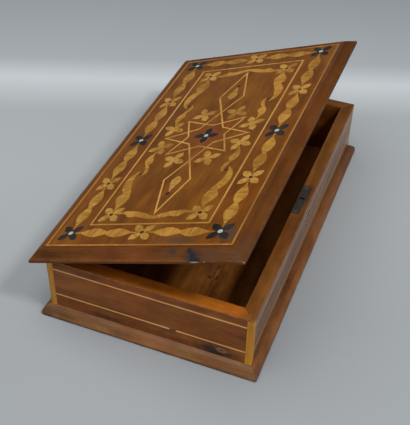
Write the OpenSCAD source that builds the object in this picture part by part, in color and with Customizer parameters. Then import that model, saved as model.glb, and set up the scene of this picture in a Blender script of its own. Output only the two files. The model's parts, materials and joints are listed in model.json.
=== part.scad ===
// Document box with a hinged, inlaid lid and a half-mortise lock.
// Origin: bottom centre of the base. +X runs along the box, -Y is the lock side, +Z is up.

/* [Base] */
// Length of the base moulding, outside
base_len = 330; // [290:1:380]
// Width of the base moulding, outside
base_wid = 192.6; // [170:0.1:230]
// How far the base moulding stands out from the walls
base_proj = 7.3; // [5:0.1:10]
// Height of the base moulding where it meets the wall
base_h = 9.8; // [8:0.1:14]
// Height of the upright edge at the foot of the base moulding
base_edge_h = 2.6; // [1.5:0.1:5]
// Radius of the worn corners of the base moulding, seen from above
base_round = 2; // [0.5:0.1:4]

/* [Walls] */
// Height of the walls above the base moulding, up to the rim
wall_h = 51.3; // [46:0.1:80]
// Thickness of the walls
wall_t = 11.4; // [10.5:0.1:14]
// Thickness of the floor board
floor_t = 6; // [4:0.1:8]
// How far the floor board is let into the walls
floor_rebate = 5; // [3:0.1:7]
// Side of the square strip let into each corner
strip_w = 5.6; // [3:0.1:6]
// Thickness of the lipping on the rim
lip_t = 1.4; // [1:0.1:2.5]

/* [Wall stringing] */
// Height of each line of stringing
line_w = 1.5; // [1:0.1:2.5]
// Depth of each line of stringing
line_depth = 1.2; // [0.8:0.1:2]
// From the rim down to the middle of the upper line
upper_line_drop = 9.1; // [6:0.1:12]
// From the base moulding up to the middle of the lower line
lower_line_rise = 13.5; // [8:0.1:18]

/* [Lid] */
// Length of the lid
lid_len = 330; // [290:1:380]
// Width of the lid
lid_wid = 192.6; // [170:0.1:230]
// Thickness of the lid
lid_t = 8; // [7:0.1:12]
// Height of the upright edge under the lid's bevel
lid_edge_h = 2.8; // [2:0.1:4]
// Width of the lid's bevel
bevel_w = 8.2; // [5:0.1:10]
// Width of the mitred frame round the lid's panel
frame_w = 12.4; // [11:0.1:14]
// How far the closed lid sits back from the middle of the box
lid_back = 3.6; // [2:0.1:4.5]
// Gap between the rim and the closed lid
lid_gap = 0.6; // [0.3:0.1:1.2]
// Angle of the open lid
lid_open = 20.2; // [0:0.1:80]

/* [Lid stringing] */
// Depth of all the inlay in the lid
inlay_depth = 1.2; // [0.8:0.1:2]
// Width of the stringing in the lid
string_w = 1.6; // [1.2:0.1:2.2]
// Width of the ornamental border at the lid's ends
band_end_w = 25.8; // [22:0.1:30]
// Width of the ornamental border along the lid's sides
band_side_w = 28.9; // [25:0.1:32]
// From the lid's edge to the line through the border flowers
chain_inset = 28.4; // [26:0.1:30]
// How much further out the chain's row stands at the far short side
far_row_out = 4.2; // [0:0.1:5]

/* [Inlaid ornament] */
// Length of a petal of the border flowers
petal_len = 12.4; // [9:0.1:13]
// Half the width of a petal
petal_half_w = 3.5; // [2.5:0.1:3.8]
// Radius of the notch between two petals
petal_notch_r = 2.9; // [2.7:0.1:3.2]
// Length of a petal of the flowers round the star
star_petal_len = 12.2; // [9:0.1:12.6]
// Width of a leaf in the border chains
leaf_w = 11; // [7:0.1:12]
// Sideways swing of a leaf in the border chains
leaf_swing = 0.3; // [0:0.1:1.2]
// Gap between a chain's end and the middle of its flower
chain_gap = 5.2; // [4.8:0.1:8]
// Radius of the pearl disc in a dark flower
pearl_r = 2.1; // [1.5:0.1:2.4]
// Radius of the dark disc in a light flower
disc_r = 1.7; // [1:0.1:2.3]
// Radius of the dark discs beside the scrolls
eye_r = 1.2; // [0.8:0.1:1.3]
// Radius of the dark disc at the tip of each kite's leaf
kite_disc_r = 1.9; // [1:0.1:2]

/* [Hinges] */
// Length of each hinge
hinge_len = 38; // [30:1:50]
// From the walls' end to the middle of each hinge
hinge_inset = 59.7; // [45:0.1:80]
// Thickness of a hinge leaf
leaf_t = 1.3; // [1:0.1:1.6]
// Width of a hinge leaf, from the pin
hinge_w = 12; // [9:0.1:13]
// Radius of the hinge knuckle
knuckle_r = 2.4; // [2:0.1:2.5]
// Radius of the hinge pin
pin_r = 1.1; // [0.8:0.1:1.3]
// Radial clearance between the pin and the lid's knuckle
pin_fit = 0.05; // [0.02:0.01:0.1]
// From the walls' back face to the pin
pin_out = 2.8; // [2.7:0.1:3.5]
// From the rim down to the pin
pin_drop = 0.3; // [0.1:0.1:0.6]
// Sideways gap between two knuckles
knuckle_gap = 0.3; // [0.2:0.1:0.6]

/* [Screws] */
// Radius of a screw's shank
shank_r = 1; // [0.8:0.1:1.3]
// Radius of a screw's head
head_r = 1.9; // [1.6:0.1:2.3]
// Height of a screw's countersunk head
head_h = 0.9; // [0.7:0.1:1]
// Length of the screws in the box
box_screw_len = 9; // [6:0.1:12]
// Length of the screws in the lid
lid_screw_len = 5.2; // [4:0.1:5.5]

/* [Lock] */
// Place of the middle of the lock plate along the box
lock_x = -6.8; // [-20:0.1:20]
// Length of the lock plate
lock_len = 40; // [38:0.1:50]
// Height of the lock plate
lock_h = 24; // [22:0.1:28]
// Width of the lock's top plate
lock_w = 6.8; // [6.4:0.1:7.4]
// Thickness of the lock's top plate
lock_top_t = 1.6; // [1.2:0.1:1.8]
// Thickness of the lock's back plate
lock_back_t = 1.2; // [1:0.1:1.4]
// Wall of the lock's case
case_t = 0.8; // [0.6:0.1:1]
// Length of the lock's case
case_len = 27; // [26:0.1:28]
// Height of the lock's case
case_h = 20; // [18:0.1:21]
// From the middle of the lock plate to its slot
slot_shift = 1.8; // [0:0.1:3]
// Travel of the bolt
bolt_travel = 5; // [4:0.1:5]
// Thickness of the bolt
bolt_t = 1.6; // [1.2:0.1:2]
// From the rim down to the middle of the round of the keyhole
key_drop = 12.6; // [12.4:0.1:14]
// Height of the keyhole
keyhole_h = 8.4; // [6:0.1:10]
// Radius of the round of the keyhole
keyhole_r = 2.2; // [1.8:0.1:2.6]
// Width of the slot of the keyhole
keyhole_w = 2; // [1.4:0.1:2.6]
// Radius of the pin that the key turns on
key_pin_r = 0.8; // [0.6:0.1:1]
// Length of the plate in the lid that carries the staple
link_len = 30; // [26:0.1:36]
// Thickness of the staple
staple_t = 1.6; // [1.2:0.1:2]
// Width of the staple
staple_w = 4; // [3.8:0.1:4.2]

/* [Hidden] */
$fn = 48;

// Sides are numbered 0 front, 1 right, 2 back, 3 left
wall_len = base_len - 2 * base_proj;
wall_wid = base_wid - 2 * base_proj;
rim_z = base_h + wall_h;
wall_top = rim_z - lip_t;
cut = 1;

// The panel's own measures, and the middle lines of its two rectangles of stringing
panel_len = lid_len - 2 * frame_w;
panel_wid = lid_wid - 2 * frame_w;
outer_x = panel_len / 2 - string_w / 2;
outer_y = panel_wid / 2 - string_w / 2;
inner_x = outer_x - band_end_w;
inner_y = outer_y - band_side_w;
chain_x = lid_len / 2 - chain_inset;
chain_y = lid_wid / 2 - chain_inset;
far_row_x = chain_x + far_row_out;
glue_line = 0.04;

// The field's ornament was drawn for a field of this size and stretches with the real one
drawn_x = 125.9;
drawn_y = 54.2;
field_kx = inner_x / drawn_x;
field_ky = inner_y / drawn_y;

// The hinge pin, and the lid as it lies when shut
hinge_x = wall_len / 2 - hinge_inset;
pin_y = wall_wid / 2 + pin_out;
pin_z = rim_z - pin_drop;
lid_z = rim_z + lid_gap;
groove_r = knuckle_r + 0.4;

// The lock, measured from the front wall's inner face
slot_x = lock_x + slot_shift;
inner_face_y = -wall_wid / 2 + wall_t;
case_low_x = slot_x - case_len / 2 - 1;
staple_y = inner_face_y - (lock_w + lock_back_t - case_t) / 2;
slot_fit = 0.4;
slide_fit = 0.05;
eye_fit = 0.35;
bolt_fit = 0.4;
key_z = rim_z - key_drop;
key_reach = 2.4;
bar_low = key_z + key_reach;
bar_h = 2.2;
bar_tail = 5;
key_pin_out = 1.5;
staple_low = bar_low + bar_h + bolt_fit;
staple_sill = 1.2;
tongue_low = staple_low + staple_sill;
tongue_h = 2.6;
bolt_tail = 12;
block_low_x = slot_x - bolt_tail;
block_high_x = slot_x - staple_t / 2 - bolt_travel - bolt_fit;
tongue_tip_x = slot_x - staple_t / 2 - 2 * eye_fit;
bar_high_x = slot_x + bar_tail;
// The key's notch in the bar, and the two lugs that carry the bar
notch_w = 4;
notch_h = 1.1;
lug_places = [-9.5, 3];
lug_w = 3;
lug_foot = 2;
lug_groove = 0.8;

// Where the screws stand in their plates
leaf_screw_in = 5.3;
leaf_screw_row = 4.1;
lock_screw_in = 2.8;
lock_screw_up = 3.4;
link_screw_in = 4;
screw_point = 1.5;

// Small chamfers on the arrises
arris = 0.5;

function mix(a, b, t) = a + (b - a) * t;
// A smooth curve through the points p, with n steps between neighbours
function knot(p, i) = p[max(0, min(len(p) - 1, i))];
function spline_at(a, b, c, d, t) =
    0.5 * (2 * b + (c - a) * t + (2 * a - 5 * b + 4 * c - d) * t * t + (3 * b - a - 3 * c + d) * t * t * t);
function spline(p, n) = [
    for (i = [0 : len(p) - 2], k = [0 : n - 1])
        spline_at(knot(p, i - 1), p[i], p[i + 1], knot(p, i + 2), k / n),
    p[len(p) - 1]
];
function unit(v) = v / norm(v);
function across(c, i) =
    let (d = unit(knot(c, i + 1) - knot(c, i - 1))) [-d.y, d.x];
// The outline of a ribbon whose middle runs through the points x, y and whose half width is the third value
function ribbon(p, n) =
    let (
        c = spline(p, n),
        m = [for (q = c) [q.x * field_kx, q.y * field_ky]],
        w = [for (q = c) max(q.z, 0.3)]
    ) concat(
        [for (i = [0 : len(m) - 1]) m[i] + across(m, i) * w[i]],
        [for (i = [len(m) - 1 : -1 : 0]) m[i] - across(m, i) * w[i]]
    );

module each_side(k, size_x, size_y)
    rotate([0, 0, 90 * k])
        translate([0, -(k % 2 == 0 ? size_y : size_x) / 2, 0])
            children();

// A bar along the box's side with 45 degree mitres, its outer face on y = 0
module mitred_bar(length, depth, height)
    linear_extrude(height)
        polygon([[-length / 2, 0], [length / 2, 0], [length / 2 - depth, depth], [-length / 2 + depth, depth]]);

// A moulding of a given outline (outward distance, height), mitred at both ends
module mitred_moulding(length, depth, height)
    intersection() {
        mitred_bar(length, depth, height);
        translate([-length / 2, 0, 0])
            rotate([90, 0, 90])
                linear_extrude(length)
                    children();
    }

module four_ways()
    for (sx = [-1, 1], sy = [-1, 1])
        scale([sx, sy, 1])
            children();

// What rounding with the radius r takes away at the corners of a rectangle
module corner_waste(size_x, size_y, r)
    four_ways()
        polygon(concat(
            [[size_x / 2 + cut, size_y / 2 + cut], [size_x / 2 + cut, size_y / 2 - r]],
            [for (a = [0 : 18 : 90]) [size_x / 2 - r * (1 - cos(a)), size_y / 2 - r * (1 - sin(a))]],
            [[size_x / 2 - r, size_y / 2 + cut]]
        ));

// The lid's pieces are drawn on the lid's middle, as it lies when shut, and swung about the pin
module on_lid()
    translate([0, pin_y, pin_z])
        rotate([-lid_open, 0, 0])
            translate([0, lid_back - pin_y, lid_z - pin_z])
                children();

module in_inlay()
    on_lid()
        translate([0, 0, lid_t - inlay_depth])
            linear_extrude(inlay_depth)
                children();

// A countersunk screw, its head's top on z = 0 and its shank down
module screw(length)
    rotate_extrude()
        polygon([[0, 0], [head_r, 0], [shank_r, -head_h], [shank_r, -length + screw_point], [0, -length]]);

module wall_blank(k) {
    length = k % 2 == 0 ? wall_len : wall_wid;
    each_side(k, wall_len, wall_wid)
        difference() {
            mitred_bar(length, wall_t, wall_top);
            for (s = [-1, 1])
                translate([s * length / 2, 0, wall_top / 2])
                    cube([2 * strip_w, 2 * strip_w, wall_top + cut], center = true);
            translate([-length / 2, wall_t - floor_rebate, -cut])
                cube([length, floor_rebate + cut, floor_t + cut]);
            wall_lines(length, line_depth + cut, cut);
        }
}

module wall_lines(length, depth, proud)
    for (z = [rim_z - upper_line_drop, base_h + lower_line_rise])
        translate([-length / 2 + strip_w, -proud, z - line_w / 2])
            cube([length - 2 * strip_w, depth, line_w]);

module bottom_board() {
    edge = wall_t - floor_rebate;
    color("#5a3a20")
        translate([-wall_len / 2 + edge, -wall_wid / 2 + edge, 0])
            cube([wall_len - 2 * edge, wall_wid - 2 * edge, floor_t]);
}

module wall_front()
    color("#7a4623")
        difference() {
            wall_blank(0);
            lock_mortise();
            keyhole(wall_wid);
            lock_screw_set();
        }

module wall_right() color("#7a4623") wall_blank(1);

module wall_back()
    color("#7a4623")
        difference() {
            wall_blank(2);
            for (s = [-1, 1])
                translate([s * hinge_x, 0, 0]) {
                    box_leaf_recess();
                    box_leaf_screws();
                }
        }

module wall_left() color("#7a4623") wall_blank(3);

module plinth(k) {
    length = k % 2 == 0 ? base_len : base_wid;
    bow = base_h - base_edge_h;
    color("#6f3c1e")
        difference() {
            each_side(k, base_len, base_wid)
                mitred_moulding(length, base_proj, base_h)
                    polygon(concat(
                        [[arris, 0], [0, arris]],
                        [for (a = [0 : 15 : 90]) [
                            mix(base_proj * (1 - cos(a)), base_proj * a / 90, 0.55),
                            base_edge_h + mix(bow * sin(a), bow * a / 90, 0.55)
                        ]],
                        [[base_proj, 0]]
                    ));
            translate([0, 0, -cut])
                linear_extrude(base_h + 2 * cut)
                    corner_waste(base_len, base_wid, base_round);
        }
}
module plinth_front() plinth(0);
module plinth_right() plinth(1);
module plinth_back() plinth(2);
module plinth_left() plinth(3);

module lip(k)
    each_side(k, wall_len, wall_wid)
        translate([0, 0, wall_top])
            mitred_bar(k % 2 == 0 ? wall_len : wall_wid, wall_t, lip_t);

module rim_lip_front()
    color("#8a4c22")
        difference() {
            lip(0);
            lock_mortise();
            lock_screw_set();
        }
module rim_lip_right() color("#8a4c22") lip(1);
module rim_lip_back()
    color("#8a4c22")
        difference() {
            lip(2);
            for (s = [-1, 1])
                translate([s * hinge_x, 0, 0]) {
                    box_leaf_recess();
                    box_leaf_screws();
                }
        }
module rim_lip_left() color("#8a4c22") lip(3);

module corner_strips()
    color("#b9873c")
        for (sx = [-1, 1], sy = [-1, 1])
            translate([
                sx * (wall_len - strip_w) / 2,
                sy * (wall_wid - strip_w) / 2,
                wall_top / 2
            ])
                cube([strip_w, strip_w, wall_top], center = true);

module wall_strings(k)
    color("#c08d40")
        each_side(k, wall_len, wall_wid)
            wall_lines(k % 2 == 0 ? wall_len : wall_wid, line_depth, 0);
module wall_strings_front() wall_strings(0);
module wall_strings_right() wall_strings(1);
module wall_strings_back() wall_strings(2);
module wall_strings_left() wall_strings(3);

// Petals at 45 degrees to the axes, with a notch between neighbours.
// Each point is a share of the petal's length and a share of its half width.
petal_shape = [
    [0.36, 0.84], [0.56, 1], [0.76, 0.78], [0.91, 0.36], [1, 0],
    [0.91, -0.36], [0.76, -0.78], [0.56, -1], [0.36, -0.84]
];
function turned(p, a) = [p.x * cos(a) - p.y * sin(a), p.x * sin(a) + p.y * cos(a)];
module flower(length)
    polygon([
        for (k = [0 : 3]) each concat(
            [turned([petal_notch_r, 0], 90 * k)],
            [for (q = petal_shape) turned([length * q.x, -petal_half_w * q.y], 90 * k + 45)]
        )
    ]);

// Two leaves in one piece between neighbouring flowers, along x from 0.
// Each point is a share of a leaf's length, from its stem to the waist, and a share of its half width.
leaf_shape = [[0, 0.09], [0.15, 0.14], [0.32, 0.52], [0.5, 0.92], [0.65, 1], [0.82, 0.78], [1, 0.32]];
leaf_steps = 2;
module twin_leaf(length) {
    half = length / 2;
    leaf = spline(leaf_shape, leaf_steps);
    last = len(leaf) - 1;
    both = concat(leaf, [for (i = [last - 1 : -1 : 0]) [2 - leaf[i].x, leaf[i].y]]);
    middle = function(t) leaf_swing * sin(180 * t);
    polygon(concat(
        [for (q = both) [q.x * half, middle(q.x) + q.y * leaf_w / 2]],
        [for (i = [len(both) - 1 : -1 : 0]) [both[i].x * half, middle(both[i].x) - both[i].y * leaf_w / 2]]
    ));
}

// Where the flowers of a long side stand along it
long_row = [-chain_x, -chain_x / 2, 0, chain_x / 2, far_row_x];

function border_flower_places() = [
    for (x = [-chain_x, far_row_x]) [x, 0],
    for (sx = [-1, 1], sy = [-1, 1]) [sx * chain_x / 2, sy * chain_y]
];
function dark_flower_places() = [
    for (x = [-chain_x, far_row_x], sy = [-1, 1]) [x, sy * chain_y],
    for (sy = [-1, 1]) [0, sy * chain_y]
];
corner_flower = [112.9, 41.1];
star_flower_a = [15.2, 39.3];
star_flower_b = [36.6, 16.4];
star_turn_a = 22;
star_turn_b = 69;
eye_place = [56.1, 41.2];
kite_disc_place = [86.4, 0];
function drawn(p) = [p.x * field_kx, p.y * field_ky];

module border_leaves_shape() {
    for (i = [0 : len(long_row) - 2], sy = [-1, 1])
        translate([long_row[i] + chain_gap, sy * chain_y])
            twin_leaf(long_row[i + 1] - long_row[i] - 2 * chain_gap);
    for (x = [-chain_x, far_row_x], sy = [0, 1])
        translate([x, -chain_y + sy * chain_y + chain_gap])
            rotate(90)
                twin_leaf(chain_y - 2 * chain_gap);
}

module border_flowers_shape()
    for (p = border_flower_places())
        translate(p)
            difference() {
                flower(petal_len);
                circle(disc_r);
            }

module dark_flowers_shape() {
    for (p = dark_flower_places())
        translate(p)
            difference() {
                flower(petal_len);
                circle(pearl_r);
            }
    rotate(45)
        difference() {
            flower(star_petal_len);
            circle(pearl_r);
        }
}

module pearl_discs_shape()
    for (p = concat(dark_flower_places(), [[0, 0]]))
        translate(p)
            circle(pearl_r);

module dark_discs_shape() {
    for (p = border_flower_places())
        translate(p)
            circle(disc_r);
    four_ways() {
        translate(drawn(corner_flower))
            circle(disc_r);
        translate(drawn(eye_place))
            circle(eye_r);
    }
    for (s = [-1, 1])
        translate(drawn(s * kite_disc_place))
            circle(kite_disc_r);
}

module corner_flowers_shape()
    four_ways()
        translate(drawn(corner_flower))
            difference() {
                flower(petal_len);
                circle(disc_r);
            }

module star_flowers_shape()
    four_ways() {
        translate(drawn(star_flower_a))
            rotate(star_turn_a)
                flower(star_petal_len);
        translate(drawn(star_flower_b))
            rotate(star_turn_b)
                flower(star_petal_len);
    }

// Middle line and half width of each scroll in one quarter of the field
long_scroll = [
    [107.3, 41.5, 0.6], [102.5, 40.2, 2], [96, 40.6, 5], [90, 41.3, 6.2], [83, 41, 3.5], [76, 44.8, 4.1],
    [67, 46.8, 3.7], [58.5, 46.2, 2.2], [51.6, 42.9, 0.3]
];
short_scroll = [
    [58.3, 38.6, 0.3], [53, 37.1, 1.7], [47.5, 38.4, 1.9], [43, 40.6, 1.5], [38, 41, 4], [32, 42.6, 3.1],
    [25.6, 41.6, 1.1], [21.4, 41, 0.5]
];
end_leaf = [
    [112.4, 35.6, 0.6], [111, 30, 1.5], [111.3, 25.5, 2.7], [113.3, 21.5, 4], [113.1, 15.5, 3.1],
    [115.4, 8.5, 3], [117.2, 3.2, 2.2], [117.3, 0.05, 2]
];
kite_leaf = [[62, 0, 0.8], [65, 0, 3.3], [68.6, 0, 4.5], [76, 0, 2.6], [83.8, 0, 0.4]];
scroll_steps = 3;

module long_scrolls_shape() four_ways() polygon(ribbon(long_scroll, scroll_steps));
module short_scrolls_shape() four_ways() polygon(ribbon(short_scroll, scroll_steps));
module end_leaves_shape() four_ways() polygon(ribbon(end_leaf, scroll_steps));
module kite_leaves_shape()
    for (s = [-1, 1])
        scale([s, 1, 1])
            polygon(ribbon(kite_leaf, scroll_steps));

// The points of one quarter and their mirror images, all round the field
function round_the_field(p) = concat(
    [for (q = p) drawn(q)],
    [for (i = [len(p) - 2 : -1 : 0]) drawn([p[i].x, -p[i].y])],
    [for (i = [1 : len(p) - 1]) drawn([-p[i].x, -p[i].y])],
    [for (i = [len(p) - 2 : -1 : 1]) drawn([-p[i].x, p[i].y])]
);
// The corner of the band's edge at the point i, a distance d to the left of its middle line
function mitre(p, i, d) =
    let (
        n = len(p),
        here = p[i % n],
        before = unit(here - p[(i + n - 1) % n]),
        after = unit(p[(i + 1) % n] - here),
        side = [-before.y - after.y, before.x + after.x]
    ) here + side * d / (1 + before * after);
// A closed band of stringing, in two halves that meet on the x axis
module band(p)
    for (k = [1, 3]) {
        places = [k * len(p) / 4 : (k + 2) * len(p) / 4];
        left = [for (i = places) mitre(p, i, string_w / 2)];
        right = [for (i = places) mitre(p, i, -string_w / 2)];
        polygon(concat(left, [for (i = [len(right) - 1 : -1 : 0]) right[i]]));
    }
kite_points = [[0, 41], [12.2, 11.9], [66.7, -12.5], [111.8, 0]];
star_points = [[0, 18], [27, 28.8], [16.8, 0]];

module kite_band_shape() band(round_the_field(kite_points));
module star_band_shape()
    difference() {
        band(round_the_field(star_points));
        kite_band_shape();
    }

// One strip of a rectangle of stringing, mitred, with a glue line at each end
module string_piece(length, half_y, glue) {
    high = length / 2 + string_w / 2 - glue;
    low = length / 2 - string_w / 2 - glue;
    polygon([
        [-high, half_y + string_w / 2],
        [high, half_y + string_w / 2],
        [low, half_y - string_w / 2],
        [-low, half_y - string_w / 2]
    ]);
}
module string_frame(half_x, half_y, glue)
    for (s = [0, 180])
        rotate(s) {
            string_piece(2 * half_x, half_y, glue);
            rotate(90)
                string_piece(2 * half_y, half_x, glue);
        }

module panel_inlay_shape() {
    string_frame(outer_x, outer_y, 0);
    string_frame(inner_x, inner_y, 0);
    border_leaves_shape();
    for (p = concat(border_flower_places(), dark_flower_places()))
        translate(p)
            flower(petal_len);
    four_ways() {
        translate(drawn(corner_flower))
            flower(petal_len);
        translate(drawn(eye_place))
            circle(eye_r);
    }
    rotate(45)
        flower(star_petal_len);
    for (s = [-1, 1])
        translate(drawn(s * kite_disc_place))
            circle(kite_disc_r);
    star_flowers_shape();
    long_scrolls_shape();
    short_scrolls_shape();
    end_leaves_shape();
    kite_leaves_shape();
    kite_band_shape();
    star_band_shape();
}

module lid_panel()
    color("#86491f")
        difference() {
            on_lid() {
                linear_extrude(lid_t - inlay_depth)
                    square([panel_len, panel_wid], center = true);
                translate([0, 0, lid_t - inlay_depth])
                    linear_extrude(inlay_depth)
                        difference() {
                            square([panel_len, panel_wid], center = true);
                            panel_inlay_shape();
                        }
            }
            lid_iron();
        }

module lid_frame(k) {
    length = k % 2 == 0 ? lid_len : lid_wid;
    color("#703b1e")
        on_lid()
            each_side(k, lid_len, lid_wid)
                mitred_moulding(length, frame_w, lid_t)
                    polygon([
                        [arris, 0], [0, arris], [0, lid_edge_h - arris], [arris / 2, lid_edge_h],
                        [bevel_w, lid_t], [frame_w, lid_t], [frame_w, 0]
                    ]);
}
module lid_frame_front()
    difference() {
        lid_frame(0);
        color("#703b1e") lid_iron();
    }
module lid_frame_right() lid_frame(1);
module lid_frame_back()
    difference() {
        lid_frame(2);
        color("#703b1e") lid_iron();
    }
module lid_frame_left() lid_frame(3);

// Everything of metal that is let into the underside of the lid
module lid_iron() {
    for (s = [-1, 1])
        translate([s * hinge_x, 0, 0]) {
            lid_leaf_recess();
            lid_leaf_screws();
            translate([-hinge_len / 2 - knuckle_gap, pin_y, pin_z])
                rotate([0, 90, 0])
                    cylinder(r = groove_r, h = hinge_len + 2 * knuckle_gap);
        }
    link_recess();
    link_screw_set();
}

module lid_outer_string() color("#c08d40") in_inlay() string_frame(outer_x, outer_y, glue_line);
module lid_inner_string() color("#c08d40") in_inlay() string_frame(inner_x, inner_y, glue_line);
module lid_border_leaves() color("#c8963f") in_inlay() border_leaves_shape();
module lid_border_flowers() color("#c8963f") in_inlay() border_flowers_shape();
module lid_dark_flowers() color("#231a18") in_inlay() dark_flowers_shape();
module lid_pearl_discs() color("#e6e2d6") in_inlay() pearl_discs_shape();
module lid_dark_discs() color("#3a2415") in_inlay() dark_discs_shape();
module lid_corner_flowers() color("#cf9d4c") in_inlay() corner_flowers_shape();
module lid_star_flowers() color("#cf9d4c") in_inlay() star_flowers_shape();
module lid_long_scrolls() color("#c8963f") in_inlay() long_scrolls_shape();
module lid_short_scrolls() color("#c8963f") in_inlay() short_scrolls_shape();
module lid_end_leaves() color("#c8963f") in_inlay() end_leaves_shape();
module lid_kite_band() color("#b9873c") in_inlay() kite_band_shape();
module lid_star_band() color("#b9873c") in_inlay() star_band_shape();
module lid_kite_leaves() color("#cf9d4c") in_inlay() kite_leaves_shape();

// Knuckles run along the pin: the box's leaf has the outer two and the lid's leaf the middle one
outer_knuckle = hinge_len * 0.3;
leaf_back_y = pin_y - knuckle_r - 0.3;

module knuckle(low_x, length)
    translate([low_x, pin_y, pin_z])
        rotate([0, 90, 0])
            cylinder(r = knuckle_r, h = length);

module pin_bore(radius)
    translate([-hinge_len / 2 - cut, pin_y, pin_z])
        rotate([0, 90, 0])
            cylinder(r = radius, h = hinge_len + 2 * cut);

module box_leaf_recess()
    translate([-hinge_len / 2, pin_y - hinge_w, rim_z - leaf_t])
        cube([hinge_len, hinge_w, leaf_t + cut]);

module screw_row()
    for (s = [-1 : 1])
        translate([s * (hinge_len / 2 - leaf_screw_in), pin_y - hinge_w + leaf_screw_row, 0])
            children();

module box_leaf_screws() screw_row() translate([0, 0, rim_z]) screw(box_screw_len);

module box_leaf(s)
    color("#8f7436")
        translate([s * hinge_x, 0, 0])
            difference() {
                union() {
                    translate([-hinge_len / 2, pin_y - hinge_w, rim_z - leaf_t])
                        cube([hinge_len, leaf_back_y - pin_y + hinge_w, leaf_t]);
                    for (low_x = [-hinge_len / 2, hinge_len / 2 - outer_knuckle]) {
                        translate([low_x, leaf_back_y - cut, rim_z - leaf_t])
                            cube([outer_knuckle, pin_y - leaf_back_y + cut, leaf_t]);
                        knuckle(low_x, outer_knuckle);
                    }
                }
                pin_bore(pin_r);
                box_leaf_screws();
            }

// The lid's leaf is drawn as it lies when the lid is shut
module lid_leaf_plate(length, low_y)
    translate([-length / 2, low_y, lid_z])
        cube([length, pin_y - low_y, leaf_t]);

module lid_leaf_recess()
    lid_swing()
        translate([-hinge_len / 2, pin_y - hinge_w, lid_z - cut])
            cube([hinge_len, hinge_w, leaf_t + cut]);
module lid_leaf_screws()
    lid_swing()
        screw_row()
            translate([0, 0, lid_z])
                mirror([0, 0, 1])
                    screw(lid_screw_len);

// Swings what is drawn in the box's frame, with the lid shut, to the open lid's place
module lid_swing()
    translate([0, pin_y, pin_z])
        rotate([-lid_open, 0, 0])
            translate([0, -pin_y, -pin_z])
                children();

module lid_leaf(s) {
    middle = hinge_len - 2 * outer_knuckle - 2 * knuckle_gap;
    color("#8f7436")
        translate([s * hinge_x, 0, 0])
            lid_swing()
                difference() {
                    union() {
                        translate([-hinge_len / 2, pin_y - hinge_w, lid_z])
                            cube([hinge_len, leaf_back_y - pin_y + hinge_w, leaf_t]);
                        lid_leaf_plate(middle, leaf_back_y - cut);
                        knuckle(-middle / 2, middle);
                    }
                    pin_bore(pin_r + pin_fit);
                    screw_row()
                        translate([0, 0, lid_z])
                            mirror([0, 0, 1])
                                screw(lid_screw_len);
                }
}

module hinge_pin(s)
    color("#6d6a66")
        translate([s * hinge_x - hinge_len / 2, pin_y, pin_z])
            rotate([0, 90, 0])
                cylinder(r = pin_r, h = hinge_len);

module hinge_left_box_leaf() box_leaf(-1);
module hinge_left_lid_leaf() lid_leaf(-1);
module hinge_left_pin() hinge_pin(-1);
module hinge_right_box_leaf() box_leaf(1);
module hinge_right_lid_leaf() lid_leaf(1);
module hinge_right_pin() hinge_pin(1);
module hinge_box_screws()
    color("#8f7436")
        for (s = [-1, 1])
            translate([s * hinge_x, 0, 0])
                box_leaf_screws();
module hinge_lid_screws()
    color("#8f7436")
        for (s = [-1, 1])
            translate([s * hinge_x, 0, 0])
                lid_leaf_screws();

// The recess in the front wall for the lock's plates and case
module lock_mortise() {
    translate([lock_x - lock_len / 2, inner_face_y - lock_w, rim_z - lock_top_t])
        cube([lock_len, lock_w + cut, lock_top_t + cut]);
    translate([lock_x - lock_len / 2, inner_face_y - lock_back_t, rim_z - lock_h])
        cube([lock_len, lock_back_t + cut, lock_h]);
    translate([case_low_x, inner_face_y - lock_w, rim_z - case_h])
        cube([case_len, lock_w + cut, case_h]);
}

// The keyhole, from the front face to the case, reach deep
module keyhole(reach)
    translate([slot_x, inner_face_y - lock_back_t - cut, key_z])
        rotate([90, 0, 0])
            linear_extrude(reach) {
                circle(keyhole_r);
                translate([-keyhole_w / 2, keyhole_r - keyhole_h])
                    square([keyhole_w, keyhole_h - keyhole_r]);
            }

module lock_screw_set()
    for (s = [-1, 1])
        translate([lock_x + s * (lock_len / 2 - lock_screw_in), 0, rim_z]) {
            translate([0, inner_face_y - lock_w / 2, 0])
                screw(box_screw_len);
            translate([0, inner_face_y, lock_screw_up - lock_h])
                rotate([-90, 0, 0])
                    screw(lid_screw_len);
        }

module lug(x)
    translate([x, 0, 0])
        difference() {
            translate([-lug_w / 2, inner_face_y - lock_w + case_t, bar_low - lug_foot])
                cube([lug_w, lock_w - lock_back_t - case_t + cut / 2, lug_foot + lug_groove]);
            translate([-lug_w, staple_y - bolt_t / 2 - slide_fit, bar_low - slide_fit])
                cube([2 * lug_w, bolt_t + 2 * slide_fit, lug_foot + lug_groove]);
        }

module lock_plate()
    color("#4a4640")
        difference() {
            union() {
                translate([lock_x - lock_len / 2, inner_face_y - lock_w, rim_z - lock_top_t])
                    cube([lock_len, lock_w, lock_top_t]);
                translate([lock_x - lock_len / 2, inner_face_y - lock_back_t, rim_z - lock_h])
                    cube([lock_len, lock_back_t, lock_h]);
                for (x = lug_places)
                    lug(slot_x + x);
            }
            translate([
                slot_x - staple_t / 2 - slot_fit,
                staple_y - staple_w / 2 - slot_fit,
                rim_z - lock_top_t - cut
            ])
                cube([staple_t + 2 * slot_fit, staple_w + 2 * slot_fit, lock_top_t + 2 * cut]);
            translate([slot_x, inner_face_y + cut, key_z])
                rotate([90, 0, 0])
                    cylinder(r = key_pin_r, h = lock_back_t + 2 * cut);
            lock_screw_set();
        }

module lock_case()
    color("#5c564c")
        difference() {
            translate([case_low_x, inner_face_y - lock_w, rim_z - case_h])
                cube([case_len, lock_w - lock_back_t, case_h - lock_top_t]);
            translate([case_low_x + case_t, inner_face_y - lock_w + case_t, rim_z - case_h + case_t])
                cube([case_len - 2 * case_t, lock_w, case_h]);
            keyhole(wall_wid);
        }

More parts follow.
